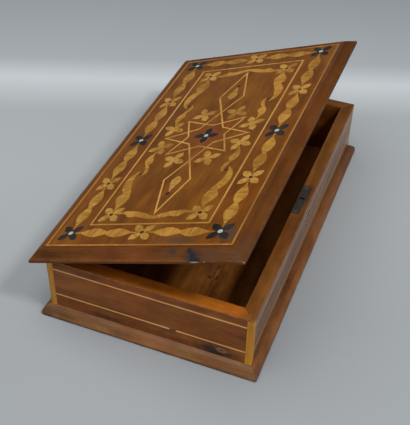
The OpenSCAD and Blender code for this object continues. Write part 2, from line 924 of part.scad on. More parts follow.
module lock_key_pin()
    color("#6d6a66")
        translate([slot_x, inner_face_y, key_z])
            rotate([90, 0, 0])
                cylinder(r = key_pin_r, h = lock_w + key_pin_out);

// The bolt's tongue passes through the staple's eye when the key throws it along +X
module lock_bolt()
    color("#8a8578")
        translate([0, staple_y + bolt_t / 2, 0])
            rotate([90, 0, 0])
                linear_extrude(bolt_t)
                    difference() {
                        union() {
                            translate([block_low_x, bar_low])
                                square([block_high_x - block_low_x, tongue_low + tongue_h - bar_low]);
                            translate([block_low_x, bar_low])
                                square([bar_high_x - block_low_x, bar_h]);
                            translate([block_low_x, tongue_low])
                                square([tongue_tip_x - block_low_x, tongue_h]);
                        }
                        translate([slot_x - (bolt_travel + notch_w) / 2, bar_low - cut])
                            square([notch_w, cut + notch_h]);
                    }

// A bent strip on the bolt that presses on the underside of the top plate
module lock_back_spring() {
    spring_t = 0.4;
    bolt_top = tongue_low + tongue_h;
    rise = rim_z - lock_top_t - bolt_top - spring_t - slide_fit;
    span = block_high_x - block_low_x;
    middle = [for (s = [0 : 0.125 : 1]) [block_low_x + span * s, bolt_top + rise * (1 - cos(180 * s)) / 2]];
    color("#7c776b")
        translate([0, staple_y + bolt_t / 2, 0])
            rotate([90, 0, 0])
                linear_extrude(bolt_t)
                    polygon(concat(
                        middle,
                        [for (i = [len(middle) - 1 : -1 : 0]) middle[i] + [0, spring_t]]
                    ));
}

module lock_screws() color("#6d6a66") lock_screw_set();

// The link plate and its staple are drawn as they lie when the lid is shut
module link_recess()
    lid_swing()
        translate([slot_x - link_len / 2, staple_y - lock_w / 2, lid_z - cut])
            cube([link_len, lock_w, leaf_t + cut]);

module link_screw_set()
    lid_swing()
        for (s = [-1, 1])
            translate([slot_x + s * (link_len / 2 - link_screw_in), staple_y, lid_z])
                mirror([0, 0, 1])
                    screw(lid_screw_len);

module link_plate()
    color("#4a4640")
        difference() {
            lid_swing()
                difference() {
                    translate([slot_x - link_len / 2, staple_y - lock_w / 2, lid_z])
                        cube([link_len, lock_w, leaf_t]);
                    translate([slot_x - staple_t / 2, staple_y - staple_w / 2, lid_z - cut])
                        cube([staple_t, staple_w, leaf_t + 2 * cut]);
                }
            link_screw_set();
        }

module link_staple()
    color("#5c564c")
        lid_swing()
            difference() {
                translate([slot_x - staple_t / 2, staple_y - staple_w / 2, staple_low])
                    cube([staple_t, staple_w, lid_z + leaf_t - staple_low]);
                translate([
                    slot_x - staple_t,
                    staple_y - bolt_t / 2 - eye_fit,
                    tongue_low - eye_fit
                ])
                    cube([2 * staple_t, bolt_t + 2 * eye_fit, tongue_h + 2 * eye_fit]);
            }

module link_screws() color("#6d6a66") link_screw_set();

bottom_board();
wall_front();
wall_right();
wall_back();
wall_left();
plinth_front();
plinth_right();
plinth_back();
plinth_left();
rim_lip_front();
rim_lip_right();
rim_lip_back();
rim_lip_left();
corner_strips();
wall_strings_front();
wall_strings_right();
wall_strings_back();
wall_strings_left();
lid_panel();
lid_frame_front();
lid_frame_right();
lid_frame_back();
lid_frame_left();
lid_outer_string();
lid_inner_string();
lid_border_leaves();
lid_border_flowers();
lid_dark_flowers();
lid_pearl_discs();
lid_dark_discs();
lid_corner_flowers();
lid_star_flowers();
lid_long_scrolls();
lid_short_scrolls();
lid_end_leaves();
lid_kite_band();
lid_star_band();
lid_kite_leaves();
hinge_left_box_leaf();
hinge_left_lid_leaf();
hinge_left_pin();
hinge_right_box_leaf();
hinge_right_lid_leaf();
hinge_right_pin();
hinge_box_screws();
hinge_lid_screws();
lock_plate();
lock_case();
lock_key_pin();
lock_bolt();
lock_back_spring();
lock_screws();
link_plate();
link_staple();
link_screws();
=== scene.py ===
"""The looks of the inlaid document box: camera, light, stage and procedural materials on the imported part.

Everything is in metres and in the part's own frame: +X along the box, -Y the lock side, +Z up.
"""

import json
import math

import bpy
from mathutils import Matrix, Vector

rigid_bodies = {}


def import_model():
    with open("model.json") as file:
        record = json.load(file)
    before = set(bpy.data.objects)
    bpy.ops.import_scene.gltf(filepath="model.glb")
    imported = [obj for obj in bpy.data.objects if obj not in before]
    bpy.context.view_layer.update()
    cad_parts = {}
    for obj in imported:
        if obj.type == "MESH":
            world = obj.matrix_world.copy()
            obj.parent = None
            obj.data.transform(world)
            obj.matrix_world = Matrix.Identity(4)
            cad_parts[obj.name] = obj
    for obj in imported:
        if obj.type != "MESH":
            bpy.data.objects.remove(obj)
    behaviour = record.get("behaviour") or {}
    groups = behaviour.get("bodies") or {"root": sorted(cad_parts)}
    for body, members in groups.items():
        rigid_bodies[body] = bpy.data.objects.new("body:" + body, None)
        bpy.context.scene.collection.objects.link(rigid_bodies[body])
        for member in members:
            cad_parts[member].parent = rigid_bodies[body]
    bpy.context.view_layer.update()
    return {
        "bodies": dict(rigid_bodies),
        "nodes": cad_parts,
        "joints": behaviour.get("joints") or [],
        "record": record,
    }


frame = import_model()
NODES = frame["nodes"]

# Measures of the part that the materials follow, from its source
LID_OPEN = math.radians(20.2)
PIN_Y, PIN_Z = 0.0918, 0.0608
LID_BACK, LID_REST_Z = 0.0036, 0.0617
LID_LEN, LID_WID = 0.330, 0.1926
WALL_LEN, WALL_WID = 0.3154, 0.178
LID_EDGE_H, BEVEL_W = 0.0028, 0.0082
# Half the length and half the width of the lid's field, within the border
FIELD_X, FIELD_Y = 0.1260, 0.0542

# Pieces that are handled together
SIDES = ("front", "back", "left", "right")
LID_STRINGS = ("lid_inner_string", "lid_kite_band", "lid_star_band")
LEAVES = ("lid_border_leaves", "lid_long_scrolls", "lid_short_scrolls", "lid_end_leaves")
FLOWERS = ("lid_border_flowers", "lid_corner_flowers", "lid_star_flowers", "lid_kite_leaves")

# Camera: solved from the photograph's straight edges, for a picture of 410 by 425
EYE = (-0.566118, -0.198664, 0.538723)
RIGHT = (0.36292545, -0.93163402, 0.01852497)
DOWN = (-0.60935618, -0.25232616, -0.75167583)
AHEAD = (0.70496111, 0.26151398, -0.65927253)
SENSOR_WIDTH, LENS = 36.0, 71.257


def make_camera():
    data = bpy.data.cameras.new("camera")
    data.sensor_width = SENSOR_WIDTH
    data.lens = LENS
    data.clip_start, data.clip_end = 0.02, 50.0
    camera = bpy.data.objects.new("camera", data)
    camera.matrix_world = Matrix([(RIGHT[i], -DOWN[i], -AHEAD[i], EYE[i]) for i in range(3)] + [(0, 0, 0, 1)])
    bpy.context.scene.collection.objects.link(camera)
    bpy.context.scene.camera = camera


class Graph:
    """A material's node graph, built by short calls that take numbers, colours or sockets.

    place is the part's own frame, or for the lid that of the shut lid, from the middle of its underside.
    """

    def __init__(self, name, lid=False):
        self.material = bpy.data.materials.new(name)
        self.material.use_nodes = True
        self.tree = self.material.node_tree
        self.tree.nodes.clear()
        place = self.add("TexCoord").outputs["Object"]
        if lid:
            shut = Vector((0, PIN_Y - LID_BACK, PIN_Z - LID_REST_Z))
            turned = Matrix.Rotation(LID_OPEN, 3, "X") @ Vector((0, PIN_Y, PIN_Z))
            place = self.scaled(place, (1, 1, 1), (LID_OPEN, 0, 0), shut - turned)
        self.place = place

    def add(self, kind, sockets=(), **settings):
        made = self.tree.nodes.new("ShaderNode" + kind)
        for key, value in settings.items():
            setattr(made, key, value)
        for key, value in dict(sockets).items():
            self.feed(made.inputs[key], value)
        return made

    def feed(self, socket, value):
        if isinstance(value, bpy.types.NodeSocket):
            self.tree.links.new(value, socket)
        else:
            socket.default_value = value

    def math(self, operation, *values):
        return self.add("Math", dict(enumerate(values)), operation=operation).outputs[0]

    def vector(self, operation, *values):
        return self.add("VectorMath", dict(enumerate(values)), operation=operation)

    def smooth(self, value, low, high, out_low=0.0, out_high=1.0):
        return self.add(
            "MapRange",
            {"Value": value, "From Min": low, "From Max": high, "To Min": out_low, "To Max": out_high},
            interpolation_type="SMOOTHSTEP",
        ).outputs[0]

    def scaled(self, place, scale, turn=(0, 0, 0), shift=(0, 0, 0)):
        return self.add(
            "Mapping", {"Vector": place, "Rotation": turn, "Scale": scale, "Location": shift}
        ).outputs[0]

    def noise(self, place, scale, detail=3.0, rough=0.5, distortion=0.0, colour=False):
        made = self.add(
            "TexNoise",
            {"Vector": place, "Scale": scale, "Detail": detail, "Roughness": rough, "Distortion": distortion},
        )
        return made.outputs["Color" if colour else "Fac"]

    def grained(self, grain, along, across, detail=3.0, rough=0.5, distortion=0.0, shift=(0, 0, 0), **more):
        """Noise with so many cells to the metre along the grain, and so many across it."""
        place = self.scaled(grain, (along, across, across), shift=shift)
        return self.noise(place, 1.0, detail, rough, distortion, **more)

    def ramp(self, value, stops):
        made = self.add("ValToRGB", {"Fac": value})
        elements = made.color_ramp.elements
        while len(elements) < len(stops):
            elements.new(0.5)
        for element, (at, colour) in zip(elements, stops):
            element.position = at
            element.color = (*colour, 1.0)
        return made.outputs["Color"]

    def mix(self, factor, a, b, blend="MIX"):
        made = self.add("Mix", {0: factor}, data_type="RGBA", blend_type=blend)
        for index, value in ((6, a), (7, b)):
            self.feed(made.inputs[index], value if isinstance(value, bpy.types.NodeSocket) else (*value, 1.0))
        return made.outputs[2]

    def bump(self, height, distance, strength=1.0, normal=None):
        sockets = {"Height": height, "Distance": distance, "Strength": strength}
        if normal is not None:
            sockets["Normal"] = normal
        return self.add("Bump", sockets).outputs[0]

    def finish(self, **sockets):
        shader = self.add("BsdfPrincipled")
        for key, value in sockets.items():
            socket = shader.inputs[key.replace("_", " ").title().replace("Ior", "IOR")]
            self.feed(socket, (*value, 1.0) if isinstance(value, tuple) else value)
        output = self.add("OutputMaterial")
        self.tree.links.new(shader.outputs[0], output.inputs["Surface"])
        return self.material


# Turns that bring the grain of a piece onto the x axis
ALONG = {"x": (0, 0, 0), "y": (0, 0, math.pi / 2), "z": (0, math.pi / 2, 0)}
# Where the dark, middle and light tones stand in a wood's figure, how far its lines wander, and its relief
TONES_AT = (0.36, 0.50, 0.64)
WANDER, GRAIN_DEPTH, WAVE_DEPTH = 0.011, 0.00006, 0.0006


def stain_and_shade_patch(g, colour, centre, radii, tone, strength, ragged=0.35, soft=0.5, coarse=340.0):
    """A patch of other tone, for stains, chips, a knot and painted shadows: an ellipsoid in the piece's own
    measures, with a ragged edge.
    """
    away = g.vector("SUBTRACT", g.place, centre).outputs[0]
    shares = g.vector("DIVIDE", away, radii).outputs[0]
    far = g.vector("LENGTH", shares).outputs["Value"]
    wander = g.noise(g.place, coarse, 4.0, 0.6)
    reach = g.math("ADD", far, g.math("MULTIPLY", g.math("SUBTRACT", wander, 0.5), ragged * 2))
    mask = g.smooth(reach, 1.0 - soft, 1.0, strength, 0.0)
    return g.mix(mask, colour, tone)


def arris_wear_and_shade(g, colour, axis, at, reach, tone, strength):
    """A narrow band about one coordinate, broken by noise: an arris worn paler here and there, and along the
    base's foot a painted shade.
    """
    axes = g.add("SeparateXYZ", {0: g.place}).outputs
    away = g.math("ABSOLUTE", g.math("SUBTRACT", g.math("ABSOLUTE", axes[axis]), at))
    near = g.smooth(away, 0.0, reach, strength, 0.0)
    broken = g.smooth(g.noise(g.place, 210.0, 4.0, 0.65), 0.42, 0.62)
    return g.mix(g.math("MULTIPLY", near, broken), colour, tone)


def wood(
    name,
    tones,
    run="x",
    lid=False,
    figure=70.0,
    gloss=0.2,
    coat=0.03,
    rough=(0.34, 0.5),
    seed=0.0,
    mottle=0.5,
    pores=0.5,
    island=0.0,
    patchy=0.55,
    fine=0.22,
    relief=0.5,
    marks=(),
    edges=(),
    framed=None,
):
    """Polished wood: growth bands, mottling, redder and darker patches, fibres and pores along the grain.

    figure is the bands' cells to the metre, island the difference from one piece of inlay to the next, and
    framed gives half a length, half a width, and the tint of all that lies beyond them.
    """
    g = Graph(name, lid)
    grain = g.scaled(g.place, (1, 1, 1), ALONG[run], (seed, seed * 0.7, seed * 1.3))
    drift = g.grained(grain, 5, 14, 2.0, colour=True)
    bent = g.vector("ADD", grain, g.vector("MULTIPLY", drift, (WANDER,) * 3).outputs[0]).outputs[0]
    bands = g.grained(bent, 4, figure, 5.0, 0.55, 0.3)
    cloud = g.grained(grain, 28, 55, 4.0, 0.6)
    fibres = g.grained(bent, 35, 900, 3.0, 0.6)
    pore = g.smooth(g.grained(grain, 130, 2600, 2.0), 0.60, 0.72)

    value = g.math("ADD", g.math("MULTIPLY", bands, 1.0 - mottle), g.math("MULTIPLY", cloud, mottle))
    value = g.math("ADD", value, g.math("MULTIPLY", g.math("SUBTRACT", fibres, 0.5), fine))
    if island:
        lone = g.add("NewGeometry").outputs["Random Per Island"]
        value = g.math("ADD", value, g.math("MULTIPLY", g.math("SUBTRACT", lone, 0.5), island))
    colour = g.ramp(value, list(zip(TONES_AT, tones)))
    redder = g.smooth(g.grained(grain, 15, 26, 3.0, 0.6), 0.46, 0.66, 0.0, patchy)
    colour = g.mix(redder, colour, RED_TINT, "MULTIPLY")
    darker = g.smooth(g.grained(grain, 11, 34, 4.0, 0.6, shift=(4, 2, 7)), 0.54, 0.70, 0.0, patchy)
    colour = g.mix(darker, colour, DARK_TINT, "MULTIPLY")
    colour = g.mix(g.math("MULTIPLY", pore, 0.45 * pores), colour, tuple(0.35 * part for part in tones[0]))
    if framed:
        axes = g.add("SeparateXYZ", {0: g.place}).outputs
        *limits, tint = framed
        beyond = [g.math("GREATER_THAN", g.math("ABSOLUTE", axes[i]), limits[i]) for i in (0, 1)]
        colour = g.mix(g.math("MAXIMUM", *beyond), colour, tint, "MULTIPLY")
    for mark in marks:
        colour = stain_and_shade_patch(g, colour, *mark)
    for edge in edges:
        colour = arris_wear_and_shade(g, colour, *edge)

    raised = g.math("ADD", g.math("MULTIPLY", fibres, 0.5), g.math("MULTIPLY", bands, 0.3))
    height = g.math("SUBTRACT", raised, g.math("MULTIPLY", pore, 0.6 * pores))
    waves = g.bump(g.grained(grain, 22, 40, 2.0), WAVE_DEPTH, relief * 0.5)
    return g.finish(
        base_color=colour,
        roughness=g.smooth(g.grained(grain, 30, 30, 4.0, 0.6), 0.3, 0.7, *rough),
        normal=g.bump(height, GRAIN_DEPTH, relief, waves),
        coat_weight=coat,
        coat_roughness=0.22,
        specular_ior_level=gloss,
    )


def metal(name, tones, rough, metallic=0.9):
    """Old metal: brushed lines, tarnish in clouds and small pits."""
    g = Graph(name)
    lines = g.grained(g.place, 60, 2500, 3.0, 0.6)
    cloud = g.noise(g.place, 260.0, 5.0, 0.65, 0.4)
    pits = g.smooth(g.noise(g.place, 1500.0, 2.0, 0.5), 0.62, 0.74)
    colour = g.ramp(lines, list(zip((0.3, 0.7), tones)))
    dirty = g.math("MULTIPLY", g.smooth(cloud, 0.42, 0.66), 0.5)
    colour = g.mix(g.math("MAXIMUM", dirty, g.math("MULTIPLY", pits, 0.8)), colour, TARNISH)
    height = g.math("SUBTRACT", g.math("MULTIPLY", lines, 0.4), pits)
    return g.finish(
        base_color=colour,
        metallic=metallic,
        roughness=g.smooth(cloud, 0.3, 0.7, *rough),
        normal=g.bump(height, 0.00004, 0.5),
    )


def pearl():
    """Mother-of-pearl: pale, with a soft play of cool and warm tones in its layers."""
    g = Graph("pearl", lid=True)
    layers = g.noise(g.scaled(g.place, (300, 900, 300), (0, 0, 0.5)), 1.0, 3.0, 0.5, 0.8)
    return g.finish(
        base_color=g.ramp(layers, list(zip((0.3, 0.5, 0.7), PEARL))),
        roughness=g.smooth(layers, 0.3, 0.7, 0.18, 0.32),
        normal=g.bump(layers, 0.00002, 0.4),
        coat_weight=0.3,
        coat_roughness=0.15,
    )


def dress(names, material):
    for name in names:
        slots = NODES[name].data.materials
        slots.clear()
        slots.append(material)


# Colours: dark, middle and light tone of each wood
FIELD = ((0.100, 0.032, 0.0020), (0.149, 0.048, 0.0029), (0.197, 0.073, 0.0046))
WALL = ((0.095, 0.025, 0.0033), (0.187, 0.055, 0.0066), (0.271, 0.089, 0.0119))
FRONT_WALL = ((0.082, 0.023, 0.0014), (0.158, 0.053, 0.0027), (0.229, 0.088, 0.0050))
MOULDING = ((0.094, 0.037, 0.0124), (0.168, 0.075, 0.0255), (0.242, 0.119, 0.0442))
FRONT_MOULDING = ((0.093, 0.030, 0.0085), (0.171, 0.062, 0.0169), (0.243, 0.099, 0.0285))
NEAR_FRAME = ((0.057, 0.016, 0.0015), (0.113, 0.034, 0.0035), (0.172, 0.056, 0.0063))
SIDE_FRAME = ((0.086, 0.025, 0.0025), (0.126, 0.036, 0.0034), (0.161, 0.051, 0.0052))
# The near end's lip: the rim wood made much brighter, as painted light on a top that catches more light than
# the other lips
NEAR_LIP_LIT = ((0.216, 0.058, 0.0067), (0.394, 0.116, 0.0104), (0.539, 0.175, 0.0198))
FRONT_LIP = ((0.100, 0.031, 0.0072), (0.186, 0.064, 0.0113), (0.268, 0.107, 0.0228))
FLOOR_WOOD = ((0.103, 0.031, 0.0044), (0.265, 0.088, 0.0110), (0.391, 0.143, 0.0209))
LEAF_WOOD = ((0.2366, 0.1027, 0.0102), (0.3264, 0.1555, 0.0195), (0.4141, 0.2122, 0.0334))
FLOWER_WOOD = ((0.2459, 0.1134, 0.0147), (0.3392, 0.1717, 0.0281), (0.4304, 0.2343, 0.0481))
STRING = ((0.304, 0.138, 0.0239), (0.423, 0.212, 0.0405), (0.534, 0.294, 0.0736))
OUTER_STRING = ((0.210, 0.095, 0.0150), (0.320, 0.150, 0.0250), (0.420, 0.215, 0.0450))
WALL_STRING = ((0.467, 0.227, 0.0643), (0.628, 0.332, 0.0964), (0.736, 0.419, 0.1469))
STRIP = ((0.350, 0.147, 0.0129), (0.497, 0.225, 0.0221), (0.626, 0.313, 0.0423))
BLACK = ((0.009, 0.008, 0.007), (0.018, 0.016, 0.015), (0.036, 0.031, 0.028))
UMBER = ((0.012, 0.006, 0.004), (0.028, 0.013, 0.007), (0.050, 0.024, 0.012))
# The three tones of pearl, and the dark and the light tone of each metal
PEARL = ((0.24, 0.29, 0.30), (0.42, 0.46, 0.40), (0.36, 0.35, 0.33))
BRASS = ((0.30, 0.20, 0.075), (0.46, 0.33, 0.14))
STEEL = ((0.22, 0.21, 0.20), (0.36, 0.35, 0.33))
IRON = ((0.060, 0.056, 0.053), (0.122, 0.114, 0.108))
TARNISH = (0.03, 0.022, 0.015)
# Tints, by which a colour is multiplied
RED_TINT = (1.12, 0.84, 0.72)
DARK_TINT = (0.68, 0.64, 0.66)
BORDER_TINT = (0.955, 0.895, 0.925)
# Painted shade: the end lips' outer faces darker than their tops
LIP_FACE_SHADE_TINT = (0.62, 0.54, 0.46)
# Painted sheen and painted shade: the lid's bevels darker and much bluer than its flat, the near bevel mostly
# bluer, the side bevels also darker
NEAR_BEVEL_SHADE_AND_SHEEN = (0.86, 0.97, 1.85)
SIDE_BEVEL_SHADE_AND_SHEEN = (0.72, 0.80, 1.50)
# Tones of the marks and the rubbed arrises
SOOT_AND_SHADE = (0.020, 0.015, 0.013)
LAMPBLACK = (0.010, 0.013, 0.014)
DARK_GREYED = (0.036, 0.025, 0.023)
GREYED_AND_SHADE = (0.070, 0.040, 0.028)
PALE_STREAK = (0.420, 0.190, 0.045)
KNOT_HEART = (0.230, 0.095, 0.060)
BARE_WOOD = (0.480, 0.420, 0.340)
RUBBED_WOOD = (0.330, 0.160, 0.060)
RED_FIELD = (0.190, 0.044, 0.009)

# Stains, chips, a knot and two painted shadows, on the near lip and the inside floor: centre, radii, tone,
# strength, and for some how ragged and how soft the edge is, and the cells to the metre of its raggedness
MARKS = {
    "lid_frame_left": [
        ((-0.1605, -0.0530, 0.0050), (0.0080, 0.0090, 0.0060), DARK_GREYED, 0.85, 0.6, 0.9, 200.0),
        ((-0.1583, -0.0508, 0.0070), (0.0040, 0.0032, 0.0032), LAMPBLACK, 0.85, 0.5, 0.8, 260.0),
        ((-0.1610, -0.0536, 0.0052), (0.0040, 0.0046, 0.0032), LAMPBLACK, 0.95, 0.5, 0.8, 260.0),
        ((-0.1640, -0.0562, 0.0032), (0.0040, 0.0074, 0.0026), LAMPBLACK, 1.00, 0.4, 0.7),
        ((-0.1584, -0.0372, 0.0066), (0.0050, 0.0046, 0.0046), DARK_GREYED, 0.85, 0.6, 0.9),
        ((-0.1650, -0.0560, 0.0021), (0.0012, 0.0050, 0.0007), BARE_WOOD, 0.75, 0.4, 0.6),
        ((-0.1653, -0.0642, 0.0026), (0.0007, 0.0009, 0.0008), BARE_WOOD, 0.75),
        ((-0.1654, -0.0960, 0.0022), (0.0010, 0.0022, 0.0010), BARE_WOOD, 0.80),
        ((-0.1610, -0.0900, 0.0050), (0.0070, 0.0075, 0.0060), GREYED_AND_SHADE, 0.60, 0.6, 0.9, 220.0),
        ((-0.1600, -0.0700, 0.0050), (0.0060, 0.0120, 0.0060), GREYED_AND_SHADE, 0.35, 0.6, 0.9, 220.0),
    ],
    "lid_frame_front": [
        ((-0.1559, -0.0899, 0.0086), (0.0010, 0.0016, 0.0016), BARE_WOOD, 0.45),
        ((-0.1500, -0.0925, 0.0060), (0.0170, 0.0060, 0.0060), GREYED_AND_SHADE, 0.50, 0.6, 0.9, 160.0),
    ],
    "lid_strings": [
        ((-0.1260, 0.0000, 0.0080), (0.0050, 0.0700, 0.0060), (0.240, 0.095, 0.008), 0.60, 0.3, 0.5, 120.0),
        ((-0.1518, -0.0300, 0.0080), (0.0050, 0.0500, 0.0060), (0.170, 0.060, 0.007), 0.50, 0.4, 0.7, 120.0),
    ],
    "lid_panel": [
        ((-0.1465, -0.0340, 0.0080), (0.0060, 0.0230, 0.0060), GREYED_AND_SHADE, 0.75, 0.6, 0.9, 200.0),
        ((-0.1400, -0.0780, 0.0080), (0.0120, 0.0100, 0.0060), GREYED_AND_SHADE, 0.75, 0.6, 0.9, 200.0),
        ((-0.1420, -0.0700, 0.0080), (0.0080, 0.0090, 0.0060), SOOT_AND_SHADE, 0.50, 0.6, 0.9, 200.0),
        ((0.0000, 0.0000, 0.0080), (0.0320, 0.0300, 0.0080), RED_FIELD, 0.40, 0.2, 0.8),
    ],
    "wall_left": [
        ((-0.1577, -0.0590, 0.0145), (0.0060, 0.0270, 0.0100), SOOT_AND_SHADE, 0.95, 0.45, 0.8, 160.0),
        ((-0.1577, -0.0640, 0.0168), (0.0060, 0.0062, 0.0034), KNOT_HEART, 0.95, 0.4, 0.4),
        ((-0.1577, -0.0640, 0.0168), (0.0060, 0.0028, 0.0015), SOOT_AND_SHADE, 0.70, 0.3, 0.7),
        ((-0.1577, 0.0380, 0.0130), (0.0060, 0.0240, 0.0050), SOOT_AND_SHADE, 0.70, 0.5, 0.9, 160.0),
        ((-0.1577, -0.0200, 0.0140), (0.0060, 0.0500, 0.0050), SOOT_AND_SHADE, 0.45, 0.5, 0.9, 120.0),
        ((-0.1577, -0.0180, 0.0200), (0.0060, 0.0140, 0.0040), SOOT_AND_SHADE, 0.50, 0.5, 0.9, 160.0),
        ((-0.1577, 0.0500, 0.0360), (0.0060, 0.0130, 0.0080), (0.240, 0.076, 0.020), 0.45, 0.6, 0.9, 120.0),
        ((-0.1577, 0.0200, 0.0300), (0.0060, 0.0200, 0.0050), (0.230, 0.074, 0.018), 0.35, 0.6, 0.9, 120.0),
    ],
    "wall_strings_left": [
        ((-0.1577, -0.0222, 0.0233), (0.0060, 0.0036, 0.0060), (0.060, 0.024, 0.010), 0.95, 0.15, 0.3),
        ((-0.1577, -0.0150, 0.0233), (0.0060, 0.0036, 0.0060), BARE_WOOD, 0.45, 0.3, 0.6),
    ],
    "plinth_left": [
        # Darker at the back end of the near plinth, low down
        ((-0.1650, 0.0930, 0.0040), (0.0080, 0.0160, 0.0080), SOOT_AND_SHADE, 0.60, 0.6, 0.9, 160.0),
        ((-0.1640, 0.0250, 0.0060), (0.0080, 0.0120, 0.0050), GREYED_AND_SHADE, 0.45, 0.6, 0.9, 160.0),
    ],
    "bottom_board": [
        ((-0.0744, -0.0281, 0.0060), (0.0034, 0.0024, 0.0050), SOOT_AND_SHADE, 0.85),
        ((-0.0753, -0.0226, 0.0060), (0.0026, 0.0020, 0.0050), SOOT_AND_SHADE, 0.80),
        ((-0.0618, -0.0262, 0.0060), (0.0030, 0.0022, 0.0050), SOOT_AND_SHADE, 0.75),
        ((-0.0690, -0.0270, 0.0060), (0.0120, 0.0016, 0.0050), PALE_STREAK, 0.60, 0.3, 0.8),
        # Painted shadow: a soft darker band across the lit inside floor, widening the edge of the lid's shadow
        ((-0.0640, -0.0180, 0.0060), (0.0200, 0.0070, 0.0050), GREYED_AND_SHADE, 0.45, 0.5, 0.9),
    ],
    "plinth_front": [
        ((-0.1590, -0.0940, 0.0040), (0.0130, 0.0070, 0.0070), GREYED_AND_SHADE, 0.60, 0.5, 0.9, 160.0),
    ],
    "rim_lip_left": [
        ((-0.1560, -0.0880, 0.0610), (0.0120, 0.0170, 0.0050), (0.150, 0.062, 0.015), 0.75, 0.4, 0.9, 160.0),
        # Painted shadow: the lid's shadow across the middle of the near lip
        ((-0.1530, 0.0000, 0.0610), (0.0080, 0.0300, 0.0050), (0.130, 0.036, 0.006), 0.45, 0.5, 0.9, 120.0),
    ],
    "rim_lip_front": [
        # Darker on the front lip round the lock plate
        ((-0.0010, -0.0840, 0.0610), (0.0240, 0.0060, 0.0050), SOOT_AND_SHADE, 0.75, 0.5, 0.9, 160.0),
    ],
}


# Worn arrises: axis, distance along it, reach, tone and strength. The base's foot is darkened for its lowest
# few millimetres, as painted shade where it meets the floor
FOOT_SHADE_TOP = 0.0034
BASE_EDGES = ((2, 0.0, FOOT_SHADE_TOP, SOOT_AND_SHADE, 0.85), (2, FOOT_SHADE_TOP, 0.0005, RUBBED_WOOD, 0.25))
LID_EDGES = ((2, LID_EDGE_H, 0.0006, RUBBED_WOOD, 0.2),)
SHORT_RIM_EDGES = ((0, WALL_LEN / 2, 0.0009, RUBBED_WOOD, 0.6),)
LONG_RIM_EDGES = ((1, WALL_WID / 2, 0.0008, RUBBED_WOOD, 0.3),)

# Looks that several pieces share
LID_STRINGING = dict(lid=True, figure=160, marks=MARKS["lid_strings"])
WALL_STRINGING = dict(figure=160, patchy=0.2, rough=(0.26, 0.42), relief=0.1)
FRUITWOOD = dict(lid=True, figure=60, island=0.22, mottle=1.0, patchy=0.25, pores=0.05, fine=0.12, relief=0.2)
DARK_INLAY = dict(lid=True, figure=150, coat=0.0, gloss=0.12)


def side_looks(side):
    """The pieces of one side, each with its tones and what else sets its look."""
    bevel = (LID_LEN / 2 - BEVEL_W, LID_WID / 2 - BEVEL_W)
    frame = dict(lid=True, coat=0.0, gloss=0.12, edges=LID_EDGES)
    base = dict(edges=BASE_EDGES)
    if side in ("left", "right"):
        # The lips' outer end faces are tinted darker than their tops, as painted shade
        shaded_lip_face = (WALL_LEN / 2 - 0.0004, 1.0, LIP_FACE_SHADE_TINT)
        return {
            "wall": (WALL, {}),
            "plinth": (MOULDING, base),
            # The near lip takes the brighter copy of the rim wood, with painted light on its top
            "rim_lip": (NEAR_LIP_LIT if side == "left" else FRONT_LIP, dict(edges=SHORT_RIM_EDGES, framed=shaded_lip_face)),
            "lid_frame": (NEAR_FRAME, dict(frame, framed=(*bevel, NEAR_BEVEL_SHADE_AND_SHEEN))),
            "wall_strings": (WALL_STRING, WALL_STRINGING),
        }
    return {
        "wall": (FRONT_WALL, dict(gloss=0.7, rough=(0.26, 0.42), pores=0.1, relief=0.1)),
        "plinth": (FRONT_MOULDING, base),
        "rim_lip": (FRONT_LIP, dict(edges=LONG_RIM_EDGES)),
        "lid_frame": (SIDE_FRAME, dict(frame, framed=(*bevel, SIDE_BEVEL_SHADE_AND_SHEEN))),
        "wall_strings": (WALL_STRING, dict(WALL_STRINGING, gloss=0.7)),
    }


def make_materials():
    """Each side's wood has its own seed, so that no two boards share a figure."""
    for index, side in enumerate(SIDES):
        run, seed = "y" if side in ("left", "right") else "x", 0.37 * (index + 1)
        for piece, (tones, look) in side_looks(side).items():
            name = f"{piece}_{side}"
            marks = MARKS.get(name, ())
            dress([name], wood(f"{piece}_wood_{side}", tones, run, seed=seed, marks=marks, **look))
    floor = dict(coat=0.0, rough=(0.55, 0.75), marks=MARKS["bottom_board"])
    dress(["bottom_board"], wood("floor_wood", FLOOR_WOOD, **floor))
    dress(["corner_strips"], wood("corner_wood", STRIP, "z", figure=160, patchy=0.35))

    panel = dict(lid=True, figure=120, seed=0.05, mottle=0.6, patchy=0.4, marks=MARKS["lid_panel"])
    panel |= dict(gloss=0.15, coat=0.0, rough=(0.27, 0.4), framed=(FIELD_X, FIELD_Y, BORDER_TINT))
    dress(["lid_panel"], wood("panel_wood", FIELD, **panel))
    dress(["lid_outer_string"], wood("lid_edge_string_wood", OUTER_STRING, patchy=0.3, **LID_STRINGING))
    dress(LID_STRINGS, wood("lid_string_wood", STRING, island=0.1, patchy=0.2, **LID_STRINGING))
    dress(LEAVES, wood("leaf_wood", LEAF_WOOD, **FRUITWOOD))
    dress(FLOWERS, wood("flower_wood", FLOWER_WOOD, seed=0.2, **FRUITWOOD))
    dress(["lid_dark_flowers"], wood("ebony", BLACK, **DARK_INLAY))
    dress(["lid_dark_discs"], wood("dark_wood", UMBER, **DARK_INLAY))
    dress(["lid_pearl_discs"], pearl())

    leaves = [f"hinge_{end}_{leaf}_leaf" for end in ("left", "right") for leaf in ("box", "lid")]
    pins = ["hinge_left_pin", "hinge_right_pin", "lock_key_pin", "lock_bolt", "lock_back_spring"]
    dress([*leaves, "hinge_box_screws", "hinge_lid_screws"], metal("brass", BRASS, (0.35, 0.55)))
    dress([*pins, "lock_screws", "link_screws"], metal("steel", STEEL, (0.35, 0.6)))
    iron = metal("dark_steel", IRON, (0.4, 0.62), metallic=0.6)
    dress(["lock_plate", "lock_case", "link_plate", "link_staple"], iron)


